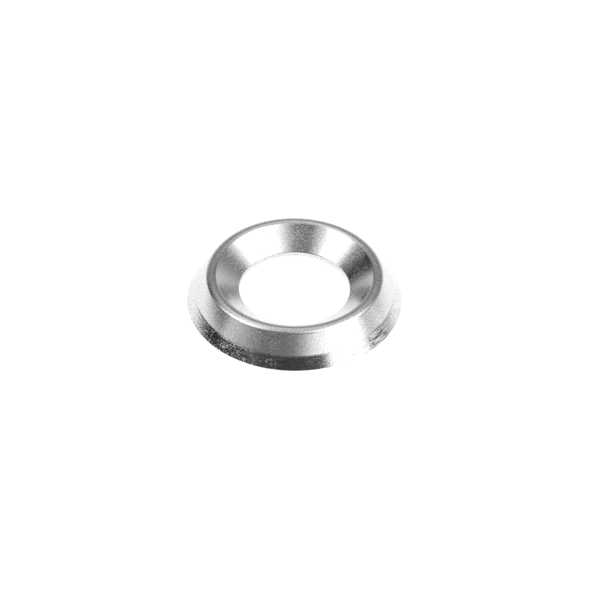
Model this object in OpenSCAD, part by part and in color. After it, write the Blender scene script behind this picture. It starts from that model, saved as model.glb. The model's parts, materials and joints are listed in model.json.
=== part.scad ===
// Finishing cup washer: one ring pressed from thin plated sheet.
// A countersunk cup takes the screw head, the sheet folds over a narrow crest,
// and a steep wall runs down to a flared foot that sits flat on the work.
// Lengths are in millimetres. The axis is Z and the foot stands on Z = 0.

/* [Sheet] */
// Thickness of the sheet
sheet_t = 0.28; // [0.2:0.01:0.5]

/* [Foot] */
// Diameter over the foot
foot_d = 15; // [14.4:0.1:16.5]
// Height of the foot band, up to the crease
foot_h = 0.85; // [0.5:0.01:1.2]
// Slope of the foot band from level, in degrees
foot_slope = 56; // [48:1:70]
// Radius of the foot's outer edge
foot_edge_r = 0.06; // [0.02:0.01:0.12]

/* [Wall] */
// Radius of the sweep that leads the wall out to the crease, as a share of the width from crest to foot edge
flare_share = 0.3; // [0.15:0.05:0.6]
// How far the sheet turns down again at the crease, in degrees
crease_turn = 15; // [6:1:26]

/* [Crest] */
// Diameter of the ring along the top of the crest
crest_d = 11.5; // [10:0.1:12.1]
// Height of the crest above the foot
crest_h = 2.49; // [2:0.01:3.4]
// Bend radius on the underside of the crest
crest_bend_r = 0.34; // [0.05:0.01:0.5]

/* [Cup] */
// Included angle of the cup
cup_angle = 102; // [82:1:110]
// Diameter of the screw hole
hole_d = 7.7; // [6.5:0.05:9]
// Radius of the hole's upper edge
hole_edge_r = 0.1; // [0.03:0.01:0.2]

/* [Hidden] */
$fn = 96;

// A straight run of sheet lies this far inside the bend that it leaves, so that the two cross cleanly
bend_slack = 0.0005;
// The rounded edges meet their faces this many degrees off tangent
edge_slack = 6;

function dir(a) = [cos(a), sin(a)];

// The foot band comes down to a point at toe_r, which its round edge trims back to foot_d
toe_r = foot_d / 2 - foot_edge_r / cos(edge_slack) + foot_edge_r / tan(foot_slope / 2);
foot_normal = 90 - foot_slope;

// The sweep ends at the crease, at the top of the foot band
flare_r = flare_share * (foot_d - crest_d) / 2;
crease = [toe_r - foot_h / tan(foot_slope), foot_h];
flare_c = crease + flare_r * dir(foot_normal + crease_turn);
foot_len = flare_c.y / sin(foot_slope);

// The wall is tangent to the crest's outside and to the sweep
crest_c = [crest_d / 2, crest_h - crest_bend_r - sheet_t];
crest_to_flare = flare_c - crest_c;
wall_normal = atan2(crest_to_flare.y, crest_to_flare.x)
            + acos((crest_bend_r + sheet_t + flare_r - 2 * bend_slack) / norm(crest_to_flare));

// The cup is tangent to the crest's outside and runs in past the hole
cup_slope = 90 - cup_angle / 2;
cup_normal = 90 + cup_slope;
cup_len = (crest_d - hole_d) / 2 / cos(cup_slope);
cup_top = crest_c + (crest_bend_r + sheet_t - bend_slack) * dir(cup_normal);
hole_top = [hole_d / 2, cup_top.y - (cup_top.x - hole_d / 2) * tan(cup_slope)];

// All that lies under a skin at that depth in the sheet, from its outside
module under_skin(depth) {
  crest_r = crest_bend_r + sheet_t - depth;
  sweep_r = flare_r + depth;
  cup_start = crest_c + (crest_r - bend_slack) * dir(cup_normal);
  cup_end = cup_start - cup_len * dir(cup_slope);
  wall_start = crest_c + (crest_r - bend_slack) * dir(wall_normal);
  wall_end = flare_c - (sweep_r - bend_slack) * dir(wall_normal);
  foot_start = flare_c - (flare_r * cos(crease_turn) + depth) * dir(foot_normal);
  foot_end = foot_start + foot_len * dir(-foot_slope);
  difference() {
    union() {
      translate(crest_c)
        circle(crest_r);
      polygon([[cup_end.x, foot_end.y], foot_end, foot_start, wall_end, wall_start, cup_start, cup_end]);
    }
    translate(flare_c)
      circle(sweep_r);
  }
}

// What a round edge takes off a corner, with its bisector and half of its angle
module edge_waste(corner, bisector, half, r) {
  translate(corner)
    difference() {
      circle(r / tan(half));
      rotate(bisector)
        translate([r / sin(half), 0])
          circle(r / cos(edge_slack));
    }
}

// The sheet's section, cut at the hole and at the foot
module section() {
  difference() {
    intersection() {
      under_skin(0);
      translate([hole_d / 2, 0])
        square([foot_d, 2 * crest_h]);
    }
    under_skin(sheet_t);
    edge_waste([toe_r, 0], 180 - foot_slope / 2, foot_slope / 2, foot_edge_r);
    edge_waste(hole_top, (cup_slope - 90) / 2, (cup_slope + 90) / 2, hole_edge_r);
  }
}

module cup_washer() {
  color("gainsboro")
    rotate_extrude()
      section();
}

cup_washer();
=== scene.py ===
import json
import math

import bmesh
import bpy
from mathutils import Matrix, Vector


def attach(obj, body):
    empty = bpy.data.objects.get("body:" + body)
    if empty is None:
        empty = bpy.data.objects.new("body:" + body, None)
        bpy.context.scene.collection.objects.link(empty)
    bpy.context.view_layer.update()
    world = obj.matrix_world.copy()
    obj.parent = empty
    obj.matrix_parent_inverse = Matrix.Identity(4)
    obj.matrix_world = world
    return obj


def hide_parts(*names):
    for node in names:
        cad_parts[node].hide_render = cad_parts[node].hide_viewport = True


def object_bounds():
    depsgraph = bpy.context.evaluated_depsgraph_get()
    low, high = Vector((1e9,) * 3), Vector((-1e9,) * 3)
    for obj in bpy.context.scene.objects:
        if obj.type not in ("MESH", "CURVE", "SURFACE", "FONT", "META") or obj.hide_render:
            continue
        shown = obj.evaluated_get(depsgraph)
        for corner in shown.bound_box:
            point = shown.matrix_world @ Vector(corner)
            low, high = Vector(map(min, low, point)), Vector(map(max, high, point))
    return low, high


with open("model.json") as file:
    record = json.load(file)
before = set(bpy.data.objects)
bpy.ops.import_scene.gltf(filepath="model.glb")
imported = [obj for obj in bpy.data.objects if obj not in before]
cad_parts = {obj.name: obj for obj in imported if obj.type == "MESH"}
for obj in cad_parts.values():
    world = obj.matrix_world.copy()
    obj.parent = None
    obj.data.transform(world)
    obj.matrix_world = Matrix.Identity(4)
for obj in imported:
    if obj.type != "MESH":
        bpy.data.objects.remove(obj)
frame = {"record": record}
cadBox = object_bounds()
scene = bpy.context.scene
mm = 0.001
print("frame loaded")


def linear(hexColour):
    channels = [int(hexColour[i:i + 2], 16) / 255 for i in (0, 2, 4)]
    return [c / 12.92 if c <= 0.04045 else ((c + 0.055) / 1.055) ** 2.4 for c in channels] + [1.0]


def addNode(tree, kind, settings=None, inputs=None):
    node = tree.nodes.new(kind)
    for name, value in (settings or {}).items():
        setattr(node, name, value)
    for socket, value in (inputs or {}).items():
        if isinstance(value, bpy.types.NodeSocket):
            tree.links.new(value, node.inputs[socket])
        else:
            node.inputs[socket].default_value = value
    return node


# The washer's section, in mm
# x is the distance from the axis and y the height above the work

washer = {
    "sheet": 0.28,           # thickness of the sheet
    "footHeight": 0.85,      # from the work up to the crease
    "footSlope": 56,         # degrees from level
    "footEdge": 0.06,        # round on the trimmed outer edge
    "flare": 0.525,          # radius of the sweep from the wall out to the crease
    "creaseTurn": 7,         # degrees that the sheet turns down at the crease
    "creaseRound": 0.1,      # a pressed line, crisp but no knife edge
    "crestDiameter": 11.5,   # ring along the top of the crest
    "crestBend": 0.34,       # bend radius under the crest
    "shoulders": (116, 44),  # degrees from level that the bend faces where it meets the cup and the wall
    "shoulderRound": 0.2,    # the drawing tool left a crisp line there
    "cupAngle": 102,         # degrees, included angle of the cup
    "holeEdge": 0.1,         # round on the hole's upper edge, where the punch drew it in
    "cutEdge": 0.025,        # round on the other cut edges, from tumbling
    "runStep": 0.2,          # spacing of the loops along straight runs
    "holdLoop": 0.012,       # from a round to the loop that holds the run beside it straight
    "holdMost": 0.25,        # share of a short run that this may take
    "arcStep": 6,            # degrees between the loops of a round
    "around": 300,           # faces round the ring
}


def heading(degrees):
    return Vector((math.cos(math.radians(degrees)), math.sin(math.radians(degrees))))


def arcPoints(centre, radius, start, end):
    steps = max(2, math.ceil(abs(end - start) / washer["arcStep"]))
    return [centre + radius * heading(start + (end - start) * i / steps) for i in range(steps + 1)]


def roundedCorner(before, corner, after, radius):
    into, out = (corner - before).normalized(), (after - corner).normalized()
    turn = math.atan2(into.x * out.y - into.y * out.x, into.dot(out))
    start = corner - into * radius * math.tan(abs(turn) / 2)
    side = math.copysign(90, turn)
    facing = math.degrees(math.atan2(into.y, into.x))
    centre = start + radius * heading(facing + side)
    return arcPoints(centre, radius, facing - side, facing - side + math.degrees(turn))


def straightRun(start, end):
    length = (end - start).length
    hold = min(washer["holdLoop"] / length, washer["holdMost"])
    steps = max(1, round(length / washer["runStep"]))
    shares = [hold] + [hold + (1 - 2 * hold) * i / steps for i in range(1, steps)] + [1 - hold]
    return [start.lerp(end, share) for share in shares]


def washerSection():
    w = washer
    footRadius = (cadBox[1].x - cadBox[0].x) / 2 / mm
    crestHeight = (cadBox[1].z - cadBox[0].z) / mm
    mounts = {m["name"]: m for m in frame["record"]["mounts"]}
    holeRadius = mounts["screw_hole"]["dims"]["r_mm"]

    # centres of the two bends, and the ways that the runs between them face
    footNormal = 90 - w["footSlope"]
    footDown = heading(-w["footSlope"])
    toeReach = w["footEdge"] / math.tan(math.radians(w["footSlope"] / 2))   # sharp toe to round
    toe = Vector((footRadius + toeReach - w["footEdge"], 0))
    crease = toe - footDown * w["footHeight"] / math.sin(math.radians(w["footSlope"]))
    flareCentre = crease + w["flare"] * heading(footNormal + w["creaseTurn"])
    crestCentre = Vector((w["crestDiameter"] / 2, crestHeight - w["crestBend"] - w["sheet"]))
    crestRadius = w["crestBend"] + w["sheet"]
    crestOut = arcPoints(crestCentre, crestRadius, *w["shoulders"])
    across = flareCentre - crestOut[-1]
    wallNormal = math.degrees(math.atan2(across.y, across.x) + math.acos(w["flare"] / across.length))
    cupNormal = 180 - w["cupAngle"] / 2

    # the sweep on one face of the sheet, at a depth from the outside
    def sweepArc(depth):
        rise = w["flare"] * math.cos(math.radians(w["creaseTurn"])) + depth
        turn = math.degrees(math.acos(rise / (w["flare"] + depth)))
        return arcPoints(flareCentre, w["flare"] + depth, wallNormal + 180, footNormal + turn + 180)

    flareOut = sweepArc(0)
    flareIn = sweepArc(w["sheet"])
    crestIn = arcPoints(crestCentre, w["crestBend"], cupNormal, wallNormal)

    def atRadius(point, slopeFrom, radius):
        run = heading(slopeFrom - 90)
        return point + run * (radius - point.x) / run.x

    holeTop = atRadius(crestCentre + crestRadius * heading(cupNormal), cupNormal, holeRadius)
    holeBottom = atRadius(crestIn[0], cupNormal, holeRadius)
    heel = flareIn[-1] + footDown * flareIn[-1].y / -footDown.y

    rounds = [
        roundedCorner(holeBottom, holeTop, crestOut[0], w["holeEdge"]),
        roundedCorner(holeTop, crestOut[0], crestOut[1], w["shoulderRound"]) + crestOut[1:-1]
        + roundedCorner(crestOut[-2], crestOut[-1], flareOut[0], w["shoulderRound"]),
        flareOut[:-1] + roundedCorner(flareOut[-2], flareOut[-1], toe, w["creaseRound"]),
        roundedCorner(crease, toe, heel, w["footEdge"]),
        roundedCorner(toe, heel, flareIn[-1], w["cutEdge"]),
        flareIn[::-1],
        crestIn[::-1],
        roundedCorner(crestIn[0], holeBottom, holeTop, w["cutEdge"]),
    ]
    outline = []
    for i, bend in enumerate(rounds):
        outline += bend + straightRun(bend[-1], rounds[(i + 1) % len(rounds)][0])
    return outline


def buildWasher():
    outline = washerSection()
    mesh = bmesh.new()
    rings = []
    for i in range(washer["around"]):
        turn = 2 * math.pi * i / washer["around"]
        rings.append([mesh.verts.new((p.x * mm * math.cos(turn), p.x * mm * math.sin(turn), p.y * mm))
                      for p in outline])
    count = len(outline)
    for i, ring in enumerate(rings):
        following = rings[(i + 1) % len(rings)]
        for j in range(count):
            k = (j + 1) % count
            face = mesh.faces.new((ring[j], ring[k], following[k], following[j]))
            face.smooth = True
    bmesh.ops.recalc_face_normals(mesh, faces=mesh.faces)
    data = bpy.data.meshes.new("pressedRing")
    mesh.to_mesh(data)
    mesh.free()
    piece = bpy.data.objects.new("pressedRing", data)
    scene.collection.objects.link(piece)
    return piece


ring = buildWasher()
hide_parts("cup_washer")
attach(ring, "root")
print("washer built:", len(ring.data.polygons), "faces")

# Bright nickel plate on pressed and tumbled steel sheet
# The plate is thin and bright, so what tumbling did to the sheet shows through it as a fine sparkle
# The crest is polished smooth by the drawing tool, and the trimmed foot is the most knocked about
# A pair named From or Edge says where a thing starts and where it is full, in mm or as a value of its noise

nickel = {
    "plate": "ededed",
    "cupRoughness": 0.13,        # burnished by the punch
    "wallRoughness": 0.22,       # the dullest
    "footRoughness": 0.09,       # the brightest
    "haze": 0.26,                # share of the light that the finest tumbling marks spread further
    "footHaze": 0.08,
    "hazeRoughness": 0.28,
    "footFrom": (0.9, 0.82),     # heights between which the wall turns into the foot
    "crestFrom": (2.1, 2.35),    # heights between which the polish starts
    "wallFrom": (5.6, 6.0),      # mm from the axis, the cup lies inside and the wall outside
    "waveSize": 2.2,             # mm, slow unevenness of the pressing
    "waveDepth": 0.01,           # mm
    "patchSize": 1.3,            # mm, patches with more and less wear
    "patchEdge": (0.38, 0.62),
    "patchWear": (0.55, 1.0),    # least and most
    "grainSize": 0.075,          # mm, tumbling dents, drawn about twice as coarse as real to show
    "grainDepth": 0.005,         # mm
    "crestGrain": 0.25,          # share of the grain that is left on the crest
    "pits": "cccccc",            # where the plate is pitted, it sends less light back
    "pitSize": 0.085,            # mm, drawn about twice as coarse as real to show
    "pitEdge": (0.35, 0.65),
    "rubEdge": (0.46, 0.64),     # rubbed high spots between the pits, which glint in dark places
    "cupRub": 0.21,              # roughness that the rubbing adds
    "wallRub": 0.09,
    "dentSize": 0.16,            # mm, knocks on the foot
    "dentDepth": 0.012,          # mm
    "dentEdge": (0.55, 0.61),
    "dullRoughness": 0.5,        # dull marks, which look pale where the metal mirrors something dark
    "wornSide": (-0.743, -0.669, 0),     # the side with the most knocks
    "wornFrom": (5.0, 6.6),
    "wornShare": (0.2, 1.0),     # of the knocks, away from that side and on it
    "turnSize": (0.8, 0.07),     # mm, length and spacing of the marks that run round the foot
    "turnDepth": 0.004,          # mm
    "scuffEdge": (0.46, 0.58),
    "scuffedSide": (0.809, -0.588, 0),   # the side that slid, with dull streaks along the foot
    "scuffedFrom": (6.2, 6.9),
    "scratchSize": (1.8, 0.22),  # mm, length and spacing of hairlines from other parts in the barrel
    "scratchLean": 0.7,          # radians
    "scratchWidth": 0.008,       # of the noise, to each side of its middle
    "scratchFrom": (0.85, 1.0),  # of the wear
}


def nickelPlatedSteel():
    n = nickel
    material = bpy.data.materials.new("nickelPlatedTumbledSteel")
    material.use_nodes = True
    tree = material.node_tree
    tree.nodes.clear()
    place = addNode(tree, "ShaderNodeTexCoord")
    spot = addNode(tree, "ShaderNodeVectorMath", {"operation": "SCALE"}, {   # in mm
        0: place.outputs["Object"],
        "Scale": 1 / mm,
    }).outputs["Vector"]
    height = addNode(tree, "ShaderNodeSeparateXYZ", {}, {"Vector": spot}).outputs["Z"]
    onFoot = addNode(tree, "ShaderNodeMapRange", {"interpolation_type": "SMOOTHSTEP"}, {
        "Value": height,
        "From Min": n["footFrom"][0],
        "From Max": n["footFrom"][1],
    }).outputs["Result"]
    grainShare = addNode(tree, "ShaderNodeMapRange", {"interpolation_type": "SMOOTHSTEP"}, {
        "Value": height,
        "From Min": n["crestFrom"][0],
        "From Max": n["crestFrom"][1],
        "To Min": 1.0,
        "To Max": n["crestGrain"],
    }).outputs["Result"]
    wear = addNode(tree, "ShaderNodeMapRange", {"interpolation_type": "SMOOTHSTEP"}, {
        "Value": addNode(tree, "ShaderNodeTexNoise", {}, {
            "Vector": spot,
            "Scale": 1 / n["patchSize"],
            "Detail": 1.0,
        }).outputs["Fac"],
        "From Min": n["patchEdge"][0],
        "From Max": n["patchEdge"][1],
        "To Min": n["patchWear"][0],
        "To Max": n["patchWear"][1],
    }).outputs["Result"]
    side = addNode(tree, "ShaderNodeMapRange", {"interpolation_type": "SMOOTHSTEP"}, {
        "Value": addNode(tree, "ShaderNodeVectorMath", {"operation": "DOT_PRODUCT"}, {
            0: spot,
            1: n["wornSide"],
        }).outputs["Value"],
        "From Min": n["wornFrom"][0],
        "From Max": n["wornFrom"][1],
        "To Min": n["wornShare"][0],
        "To Max": n["wornShare"][1],
    }).outputs["Result"]
    wornHere = addNode(tree, "ShaderNodeMath", {"operation": "MULTIPLY"}, {0: wear, 1: side})

    # tumbling dents, all over
    grain = addNode(tree, "ShaderNodeTexNoise", {}, {
        "Vector": spot,
        "Scale": 1 / n["grainSize"],
        "Detail": 1.0,
    })
    grainRise = addNode(tree, "ShaderNodeMapRange", {"clamp": False}, {
        "Value": grain.outputs["Fac"],
        "To Min": -n["grainDepth"] / 2,
        "To Max": n["grainDepth"] / 2,
    })
    grainHere = addNode(tree, "ShaderNodeMath", {"operation": "MULTIPLY"}, {
        0: grainRise.outputs["Result"],
        1: grainShare,
    })

    # knocks and turning marks on the foot
    dents = addNode(tree, "ShaderNodeTexNoise", {}, {
        "Vector": spot,
        "Scale": 1 / n["dentSize"],
        "Detail": 2.0,
        "Roughness": 0.6,
    })
    dentRise = addNode(tree, "ShaderNodeMapRange", {"clamp": False}, {
        "Value": dents.outputs["Fac"],
        "To Min": -n["dentDepth"] / 2,
        "To Max": n["dentDepth"] / 2,
    })
    wornDents = addNode(tree, "ShaderNodeMath", {"operation": "MULTIPLY"}, {
        0: dentRise.outputs["Result"],
        1: wornHere.outputs[0],
    })
    turned = addNode(tree, "ShaderNodeTexNoise", {}, {
        "Vector": addNode(tree, "ShaderNodeVectorMath", {"operation": "MULTIPLY"}, {
            0: spot,
            1: (1, 1, n["turnSize"][0] / n["turnSize"][1]),
        }).outputs["Vector"],
        "Scale": 1 / n["turnSize"][0],
        "Detail": 1.0,
    })
    turnRise = addNode(tree, "ShaderNodeMapRange", {"clamp": False}, {
        "Value": turned.outputs["Fac"],
        "To Min": -n["turnDepth"] / 2,
        "To Max": n["turnDepth"] / 2,
    })
    footMarks = addNode(tree, "ShaderNodeMath", {"operation": "ADD"}, {
        0: wornDents.outputs[0],
        1: turnRise.outputs["Result"],
    })
    grainAndFoot = addNode(tree, "ShaderNodeMath", {"operation": "MULTIPLY_ADD"}, {
        0: footMarks.outputs[0],
        1: onFoot,
        2: grainHere.outputs[0],
    })

    # the pressing is a little uneven
    waves = addNode(tree, "ShaderNodeTexNoise", {}, {
        "Vector": spot,
        "Scale": 1 / n["waveSize"],
        "Detail": 0.0,
    })
    allHeights = addNode(tree, "ShaderNodeMath", {"operation": "MULTIPLY_ADD"}, {
        0: waves.outputs["Fac"],
        1: n["waveDepth"],
        2: grainAndFoot.outputs[0],
    })
    bump = addNode(tree, "ShaderNodeBump", {}, {
        "Height": allHeights.outputs[0],
        "Distance": mm,
        "Strength": 1.0,
    })

    # gloss of the cup, the wall and the foot
    level = addNode(tree, "ShaderNodeVectorMath", {"operation": "MULTIPLY"}, {
        0: spot,
        1: (1, 1, 0),
    })
    fromAxis = addNode(tree, "ShaderNodeVectorMath", {"operation": "LENGTH"}, {
        0: level.outputs["Vector"],
    })
    cupToWall = addNode(tree, "ShaderNodeMapRange", {"interpolation_type": "SMOOTHSTEP"}, {
        "Value": fromAxis.outputs["Value"],
        "From Min": n["wallFrom"][0],
        "From Max": n["wallFrom"][1],
        "To Min": n["cupRoughness"],
        "To Max": n["wallRoughness"],
    })
    gloss = addNode(tree, "ShaderNodeMix", {"data_type": "FLOAT"}, {
        "Factor": onFoot,
        "A": cupToWall.outputs["Result"],
        "B": n["footRoughness"],
    })

    # the foot's knocks and streaks are dull
    dentHere = addNode(tree, "ShaderNodeMapRange", {}, {
        "Value": dents.outputs["Fac"],
        "From Min": n["dentEdge"][0],
        "From Max": n["dentEdge"][1],
    })
    dullHere = addNode(tree, "ShaderNodeMath", {"operation": "MULTIPLY"}, {
        0: dentHere.outputs["Result"],
        1: addNode(tree, "ShaderNodeMath", {"operation": "MULTIPLY"}, {
            0: wornHere.outputs[0],
            1: onFoot,
        }).outputs[0],
    })
    scuffHere = addNode(tree, "ShaderNodeMapRange", {}, {
        "Value": turned.outputs["Fac"],
        "From Min": n["scuffEdge"][0],
        "From Max": n["scuffEdge"][1],
    })
    scuffSide = addNode(tree, "ShaderNodeMapRange", {"interpolation_type": "SMOOTHSTEP"}, {
        "Value": addNode(tree, "ShaderNodeVectorMath", {"operation": "DOT_PRODUCT"}, {
            0: spot,
            1: n["scuffedSide"],
        }).outputs["Value"],
        "From Min": n["scuffedFrom"][0],
        "From Max": n["scuffedFrom"][1],
    })
    scuffed = addNode(tree, "ShaderNodeMath", {"operation": "MULTIPLY"}, {
        0: scuffHere.outputs["Result"],
        1: addNode(tree, "ShaderNodeMath", {"operation": "MULTIPLY"}, {
            0: scuffSide.outputs["Result"],
            1: onFoot,
        }).outputs[0],
    })
    footDull = addNode(tree, "ShaderNodeMath", {"operation": "MAXIMUM"}, {
        0: dullHere.outputs[0],
        1: scuffed.outputs[0],
    })

    # a hairline runs where a long stretched noise passes its middle, and only in the most worn patches
    stretched = addNode(tree, "ShaderNodeMapping", {}, {
        "Vector": spot,
        "Rotation": (0, n["scratchLean"], 0),
        "Scale": (1 / n["scratchSize"][0], 1 / n["scratchSize"][1], 1 / n["scratchSize"][1]),
    })
    lines = addNode(tree, "ShaderNodeTexNoise", {}, {
        "Vector": stretched.outputs["Vector"],
        "Scale": 1.0,
        "Detail": 0.0,
    })
    onLine = addNode(tree, "ShaderNodeMath", {"operation": "COMPARE"}, {
        0: lines.outputs["Fac"],
        1: 0.5,   # the noise's middle
        2: n["scratchWidth"],
    })
    mostWorn = addNode(tree, "ShaderNodeMapRange", {}, {
        "Value": wear,
        "From Min": n["scratchFrom"][0],
        "From Max": n["scratchFrom"][1],
    })
    scratched = addNode(tree, "ShaderNodeMath", {"operation": "MULTIPLY"}, {
        0: onLine.outputs[0],
        1: mostWorn.outputs["Result"],
    })
    dull = addNode(tree, "ShaderNodeMath", {"operation": "MAXIMUM"}, {
        0: footDull.outputs[0],
        1: scratched.outputs[0],
    })
    finish = addNode(tree, "ShaderNodeMix", {"data_type": "FLOAT"}, {
        "Factor": dull.outputs[0],
        "A": gloss.outputs["Result"],
        "B": n["dullRoughness"],
    })

    # dim pits, and between them the high spots that rubbing roughened, except on the foot
    pits = addNode(tree, "ShaderNodeTexNoise", {}, {
        "Vector": spot,
        "Scale": 1 / n["pitSize"],
        "Detail": 1.0,
    })
    pitted = addNode(tree, "ShaderNodeMapRange", {}, {
        "Value": pits.outputs["Fac"],
        "From Min": n["pitEdge"][0],
        "From Max": n["pitEdge"][1],
    })
    rubbed = addNode(tree, "ShaderNodeMapRange", {}, {
        "Value": pits.outputs["Fac"],
        "From Min": n["rubEdge"][0],
        "From Max": n["rubEdge"][1],
    })
    rub = addNode(tree, "ShaderNodeMapRange", {"interpolation_type": "SMOOTHSTEP"}, {
        "Value": fromAxis.outputs["Value"],
        "From Min": n["wallFrom"][0],
        "From Max": n["wallFrom"][1],
        "To Min": n["cupRub"],
        "To Max": n["wallRub"],
    })
    wornRub = addNode(tree, "ShaderNodeMath", {"operation": "MULTIPLY"}, {
        0: rub.outputs["Result"],
        1: wear,
    })
    rubbedHere = addNode(tree, "ShaderNodeMix", {"data_type": "FLOAT"}, {
        "Factor": onFoot,
        "A": addNode(tree, "ShaderNodeMath", {"operation": "MULTIPLY"}, {
            0: rubbed.outputs["Result"],
            1: wornRub.outputs[0],
        }).outputs[0],
        "B": 0.0,
    })
    roughness = addNode(tree, "ShaderNodeMath", {"operation": "ADD"}, {
        0: finish.outputs["Result"],
        1: rubbedHere.outputs["Result"],
    })
    colour = addNode(tree, "ShaderNodeMix", {"data_type": "RGBA"}, {
        "Factor": pitted.outputs["Result"],
        6: linear(n["pits"]),
        7: linear(n["plate"]),
    })

    # most of the light is mirrored, and the haze spreads the rest
    metal = {"Base Color": colour.outputs[2], "Metallic": 1.0, "Normal": bump.outputs["Normal"]}
    bright = addNode(tree, "ShaderNodeBsdfPrincipled", {}, {**metal, "Roughness": roughness.outputs[0]})
    spread = addNode(tree, "ShaderNodeBsdfPrincipled", {}, {**metal, "Roughness": n["hazeRoughness"]})
    haze = addNode(tree, "ShaderNodeMix", {"data_type": "FLOAT"}, {
        "Factor": onFoot,
        "A": n["haze"],
        "B": n["footHaze"],
    })
    plate = addNode(tree, "ShaderNodeMixShader", {}, {
        0: haze.outputs["Result"],
        1: bright.outputs["BSDF"],
        2: spread.outputs["BSDF"],
    })
    addNode(tree, "ShaderNodeOutputMaterial", {}, {"Surface": plate.outputs["Shader"]})
    return material


ring.data.materials.append(nickelPlatedSteel())
print("nickel plate made")

# White table, and the soft boxes and black flags that a bright part is photographed between
# azimuth 0 is the camera's side and goes round to the left of the picture, elevation is above the table

studio = {
    "cardStep": 3,           # degrees between a card's loops
    "tableClear": 50,        # mm, a nearer card is seen in the metal but takes no light from the table
    "tableSize": 3000,       # mm
    "tableBelow": 0.002,     # mm under the foot, so that the two faces don't mix
    "tableWhite": "c5c5c5",
    "tableTopUp": 0.78,      # light that brings the table up to white in the picture
    "room": [
        # elevation, shade: white paper beyond the table, a dim room above it, a pale ceiling
        (0, "ffffff"),
        (5, "f0f0f0"),
        (11, "d4d4d4"),
        (19, "a0a0a0"),
        (26, "828282"),
        (34, "7a7a7a"),
        (41, "888888"),
        (49, "b2b2b2"),
        (57, "dcdcdc"),
        (67, "e6e6e6"),
        (78, "c8c8c8"),
        (90, "bcbcbc"),
    ],
    "cards": [
        # name, azimuths, elevations, brightness
        # then the degrees of soft rim at the sides, foot and top, and the mm from the axis
        ("softBoxRight", (-115, -20), (24, 84), 1.7, (20, 8, 26), 400),
        ("softBoxLeft", (53, 104), (21, 84), 1.95, (12, 5, 32), 400),
        ("softBoxBack", (98, 168), (50, 80), 1.15, (22, 10, 16), 390),
        ("whiteCardRight", (-84, -28), (-4, 36), 1.7, (9, 3, 8), 380),
        ("whiteCardLow", (-42, -12), (-4, 21), 1.6, (9, 3, 8), 360),
        ("paperBack", (164, 196), (6, 38), 0.62, (9, 6, 18), 360),
        ("flagFront", (-44, 50), (15, 38), 0.04, (18, 6, 8), 340),
        ("flagFrontLow", (-9, 46), (-4, 19), 0.11, (8, 3, 6), 330),
        ("flagAbove", (-16, 48), (46, 73), 0.0, (12, 8, 14), 320),
        ("flagLeft", (38, 86), (7, 24), 0.0, (6, 4, 3), 310),
        ("flagBack", (112, 142), (9, 40), 0.0, (8, 8, 8), 310),
        ("greyCardRight", (-106, -77), (-2, 20), 0.12, (7, 3, 6), 310),
        # the last two stand on the table, close to the part
        ("greyBeside", (-114, -84), (0, 9), 0.38, (7, 1, 4), 16),
        ("flagBeside", (63, 106), (2.2, 19), 0.0, (6, 2.5, 4), 16),
    ],
}


def domePoint(azimuth, elevation, distance):
    a, e = math.radians(azimuth), math.radians(elevation)
    return Vector((-math.sin(a) * math.cos(e), -math.cos(a) * math.cos(e), math.sin(e))) * distance


def glowMaterial(name, brightness):
    material = bpy.data.materials.new(name)
    material.use_nodes = True
    tree = material.node_tree
    tree.nodes.clear()
    rim = addNode(tree, "ShaderNodeAttribute", {"attribute_name": "rim"})
    fade = addNode(tree, "ShaderNodeMapRange", {"interpolation_type": "SMOOTHSTEP"}, {
        "Value": rim.outputs["Fac"],
    })
    clear = addNode(tree, "ShaderNodeBsdfTransparent")
    glow = addNode(tree, "ShaderNodeEmission", {}, {"Color": (1, 1, 1, 1), "Strength": brightness})
    mixed = addNode(tree, "ShaderNodeMixShader", {}, {
        0: fade.outputs["Result"],
        1: clear.outputs["BSDF"],
        2: glow.outputs["Emission"],
    })
    addNode(tree, "ShaderNodeOutputMaterial", {}, {"Surface": mixed.outputs["Shader"]})
    return material


def hangCard(name, azimuths, elevations, brightness, rims, distance):
    across = math.ceil((azimuths[1] - azimuths[0]) / studio["cardStep"])
    up = math.ceil((elevations[1] - elevations[0]) / studio["cardStep"])
    mesh = bmesh.new()
    grid = []
    fromRim = []
    for i in range(across + 1):
        azimuth = azimuths[0] + (azimuths[1] - azimuths[0]) * i / across
        column = []
        for j in range(up + 1):
            elevation = elevations[0] + (elevations[1] - elevations[0]) * j / up
            column.append(mesh.verts.new(domePoint(azimuth, elevation, distance * mm)))
            fromSide = min(azimuth - azimuths[0], azimuths[1] - azimuth) / rims[0]
            fromFoot = (elevation - elevations[0]) / rims[1]
            fromTop = (elevations[1] - elevation) / rims[2]
            fromRim.append(min(fromSide, fromFoot, fromTop, 1))
        grid.append(column)
    for i in range(across):
        for j in range(up):
            mesh.faces.new((grid[i][j], grid[i + 1][j], grid[i + 1][j + 1], grid[i][j + 1]))
    data = bpy.data.meshes.new(name)
    mesh.to_mesh(data)
    mesh.free()
    data.attributes.new("rim", "FLOAT", "POINT").data.foreach_set("value", fromRim)
    card = bpy.data.objects.new(name, data)
    scene.collection.objects.link(card)
    data.materials.append(glowMaterial(name, brightness))
    card.visible_camera = False
    card.visible_diffuse = distance > studio["tableClear"]
    card.visible_shadow = False


for card in studio["cards"]:
    hangCard(*card)


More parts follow.
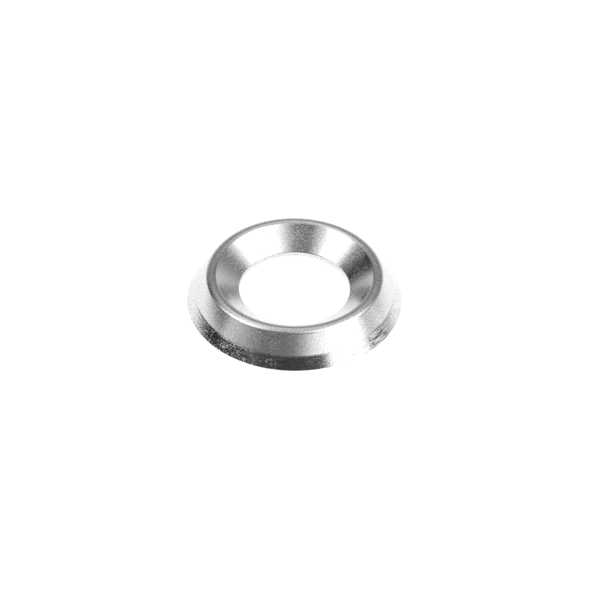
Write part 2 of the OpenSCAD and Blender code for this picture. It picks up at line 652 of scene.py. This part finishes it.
def tableMaterial():
    material = bpy.data.materials.new("whiteTable")
    material.use_nodes = True
    tree = material.node_tree
    tree.nodes.clear()
    path = addNode(tree, "ShaderNodeLightPath")
    cameraOrGlossy = addNode(tree, "ShaderNodeMath", {"operation": "MAXIMUM"}, {
        0: path.outputs["Is Camera Ray"],
        1: path.outputs["Is Glossy Ray"],
    })
    seen = addNode(tree, "ShaderNodeMath", {"operation": "MAXIMUM"}, {
        0: cameraOrGlossy.outputs[0],
        1: path.outputs["Is Transmission Ray"],
    })
    topUp = addNode(tree, "ShaderNodeMath", {"operation": "MULTIPLY"}, {
        0: seen.outputs[0],
        1: studio["tableTopUp"],
    })
    paper = addNode(tree, "ShaderNodeBsdfDiffuse", {}, {"Color": linear(studio["tableWhite"])})
    white = addNode(tree, "ShaderNodeEmission", {}, {
        "Color": (1, 1, 1, 1),
        "Strength": topUp.outputs[0],
    })
    both = addNode(tree, "ShaderNodeAddShader", {}, {
        0: paper.outputs["BSDF"],
        1: white.outputs["Emission"],
    })
    addNode(tree, "ShaderNodeOutputMaterial", {}, {"Surface": both.outputs["Shader"]})
    return material


def layTable():
    half = studio["tableSize"] * mm / 2
    data = bpy.data.meshes.new("table")
    corners = [(-half, -half, 0), (half, -half, 0), (half, half, 0), (-half, half, 0)]
    data.from_pydata(corners, [], [(0, 1, 2, 3)])
    table = bpy.data.objects.new("table", data)
    scene.collection.objects.link(table)
    table.location.z = -studio["tableBelow"] * mm
    table.data.materials.append(tableMaterial())


layTable()


def lightRoom():
    world = bpy.data.worlds.new("studioRoom")
    scene.world = world
    world.use_nodes = True
    tree = world.node_tree
    tree.nodes.clear()
    place = addNode(tree, "ShaderNodeTexCoord")
    axes = addNode(tree, "ShaderNodeSeparateXYZ", {}, {"Vector": place.outputs["Generated"]})
    shades = addNode(tree, "ShaderNodeValToRGB", {}, {"Fac": axes.outputs["Z"]})
    stops = shades.color_ramp.elements
    while len(stops) < len(studio["room"]):
        stops.new(0.5)
    for stop, (elevation, shade) in zip(stops, studio["room"]):
        stop.position = math.sin(math.radians(elevation))
        stop.color = linear(shade)
    glow = addNode(tree, "ShaderNodeBackground", {}, {"Color": shades.outputs["Color"], "Strength": 1.0})
    addNode(tree, "ShaderNodeOutputWorld", {}, {"Surface": glow.outputs["Background"]})


lightRoom()
print("studio lit")

# Camera at the photograph's angle, framed on the foot's ellipse

view = {
    "elevation": 41.0,            # degrees
    "roll": 0.6,                  # degrees, the picture leans a little
    "distance": 400,              # mm
    "sees": (10, 10000),          # mm, nearest and farthest
    "pixelsPerMm": 14.32,         # at the foot
    "imageSize": 600,             # pixels, square
    "axisPixel": (294.4, 300.3),  # where the foot's centre falls in the picture
    "sensor": 36,                 # mm
}


def placeCamera():
    lens = bpy.data.cameras.new("camera")
    camera = bpy.data.objects.new("camera", lens)
    scene.collection.objects.link(camera)
    scene.camera = camera
    lens.sensor_width = view["sensor"]
    lens.lens = view["sensor"] * view["distance"] * view["pixelsPerMm"] / view["imageSize"]
    lens.clip_start = view["sees"][0] * mm
    lens.clip_end = view["sees"][1] * mm
    back = domePoint(0, view["elevation"], 1)
    turn = (-back).to_track_quat("-Z", "Y").to_matrix()
    roll = math.radians(view["roll"])
    right = turn @ Vector((math.cos(roll), math.sin(roll), 0))
    up = turn @ Vector((-math.sin(roll), math.cos(roll), 0))
    centre = view["imageSize"] / 2
    aside = (centre - view["axisPixel"][0]) * right
    above = (view["axisPixel"][1] - centre) * up
    shift = (aside + above) / view["pixelsPerMm"] * mm
    camera.location = back * view["distance"] * mm + shift
    pose = turn.copy()
    for row in range(3):
        pose[row][0] = right[row]
        pose[row][1] = up[row]
        pose[row][2] = back[row]
    camera.rotation_mode = "QUATERNION"
    camera.rotation_quaternion = pose.to_quaternion()


placeCamera()
scene.view_settings.view_transform = "Standard"
print("camera placed")
